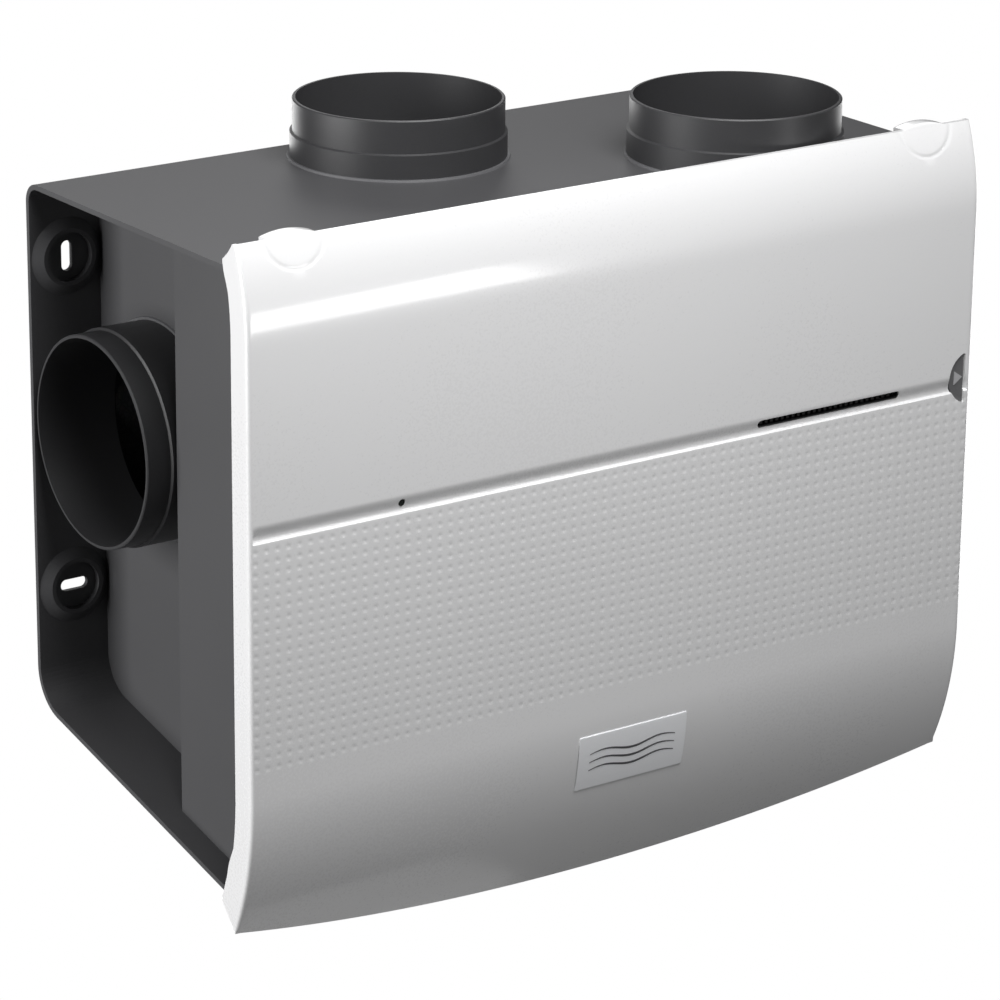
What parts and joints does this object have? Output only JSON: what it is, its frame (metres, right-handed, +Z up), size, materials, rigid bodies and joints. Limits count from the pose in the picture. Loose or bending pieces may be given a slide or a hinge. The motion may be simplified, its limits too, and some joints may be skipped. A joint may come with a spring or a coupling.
{
  "type": "heat recovery unit",
  "caption": "Wall-hung heat recovery ventilation unit: dark casing with round duct spigots on top and sides, and a white tilting front cover over filters, exchanger and fans.",
  "frame": {"origin": "on the wall plane, in the middle of the four fixing slots", "axes": "+X to the right as seen from the front, +Y into the wall, so the front faces -Y, +Z up"},
  "size_m": [0.508, 0.2502, 0.4385],
  "materials": {
    "casing": "matt anthracite powder coat, very fine grain",
    "spigot": "matt anthracite moulded plastic",
    "cover": "white glossy moulded plastic with fine dimples over the lower part",
    "plate": "pale silver-grey satin plastic",
    "grille": "black matt plastic",
    "inner_plastic": "black moulded plastic, light grain",
    "foam": "black expanded bead foam",
    "seal": "soft dark grey rubber",
    "exchanger": "bare sheet",
    "webbing": "woven strap",
    "filter_paper": "pleated filter paper",
    "fan_plastic": "dark grey moulded plastic",
    "steel": "zinc-plated",
    "tray": "grey moulded plastic",
    "board": "green circuit board",
    "button": "mid-grey moulded plastic",
    "lamp": "clear moulded light guide"
  },
  "bodies": {
    "casing": {"casing_shell": "casing", "slot_rings": "casing", "left_side_panel": "casing", "right_side_panel": "casing", "front_panel": "inner_plastic", "panel_screws": "steel", "hinge_blocks": "inner_plastic", "spigot_top_left": "spigot", "spigot_top_right": "spigot", "spigot_left": "spigot", "spigot_right": "spigot", "spigot_seals": "seal", "foam_front": "foam", "foam_body": "foam", "window_gasket": "seal", "exhaust_fan_housing": "inner_plastic", "exhaust_fan_motor": "steel", "supply_fan_housing": "inner_plastic", "supply_fan_motor": "steel", "fan_screws": "steel", "bypass_actuator": "inner_plastic", "condensate_tray": "tray", "drain_spout": "tray", "board_box": "inner_plastic", "control_board": "board", "terminal_block": "board", "cable_gland": "inner_plastic", "sensor_board": "board", "status_lamp": "lamp"},
    "cover": {"front_cover": "cover", "slot_grille": "grille", "light_guide": "lamp", "hinge_pins": "cover", "name_plate": "plate", "latch_keeper": "steel"},
    "latch": {"latch_button": "button", "latch_arrow": "plate"},
    "exchanger": {"core_block": "exchanger", "core_frame": "inner_plastic", "core_strap": "webbing"},
    "filter_left": {"left_filter_frame": "inner_plastic", "left_filter_media": "filter_paper"},
    "filter_right": {"right_filter_frame": "inner_plastic", "right_filter_media": "filter_paper"},
    "exhaust_impeller": {"exhaust_fan_impeller": "fan_plastic"},
    "supply_impeller": {"supply_fan_impeller": "fan_plastic"},
    "bypass": {"bypass_flap": "inner_plastic"}
  },
  "joints": [
    {"name": "cover_tilt", "type": "hinge", "parent": "casing", "child": "cover", "pos_m": [0, -0.223, -0.211], "axis": [1, 0, 0], "range_deg": [0, 60]},
    {"name": "latch_push", "type": "slide", "parent": "cover", "child": "latch", "axis": [0, 1, 0], "range_m": [0, 0.002], "stiffness_N_per_m": 400, "springref_m": -0.002},
    {"name": "exchanger_slide", "type": "slide", "parent": "casing", "child": "exchanger", "axis": [0, -1, 0], "range_m": [0, 0.0905]},
    {"name": "left_filter_slide", "type": "slide", "parent": "casing", "child": "filter_left", "axis": [0, -1, 0], "range_m": [0, 0.13]},
    {"name": "right_filter_slide", "type": "slide", "parent": "casing", "child": "filter_right", "axis": [0, -1, 0], "range_m": [0, 0.13]},
    {"name": "exhaust_spin", "type": "hinge", "parent": "casing", "child": "exhaust_impeller", "pos_m": [-0.125, -0.085, -0.1], "axis": [0, 1, 0], "continuous": true},
    {"name": "supply_spin", "type": "hinge", "parent": "casing", "child": "supply_impeller", "pos_m": [0.125, -0.085, -0.1], "axis": [0, 1, 0], "continuous": true},
    {"name": "bypass_turn", "type": "hinge", "parent": "casing", "child": "bypass", "pos_m": [0, -0.03, -0.027], "axis": [0.7071, 0, -0.7071], "range_deg": [0, 90]}
  ],
  "couplings": [
    {"joint": "exchanger_slide", "follows": "cover_tilt", "m_per_rad": 0.086},
    {"joint": "left_filter_slide", "follows": "cover_tilt", "m_per_rad": 0.124},
    {"joint": "right_filter_slide", "follows": "cover_tilt", "m_per_rad": 0.124}
  ]
}
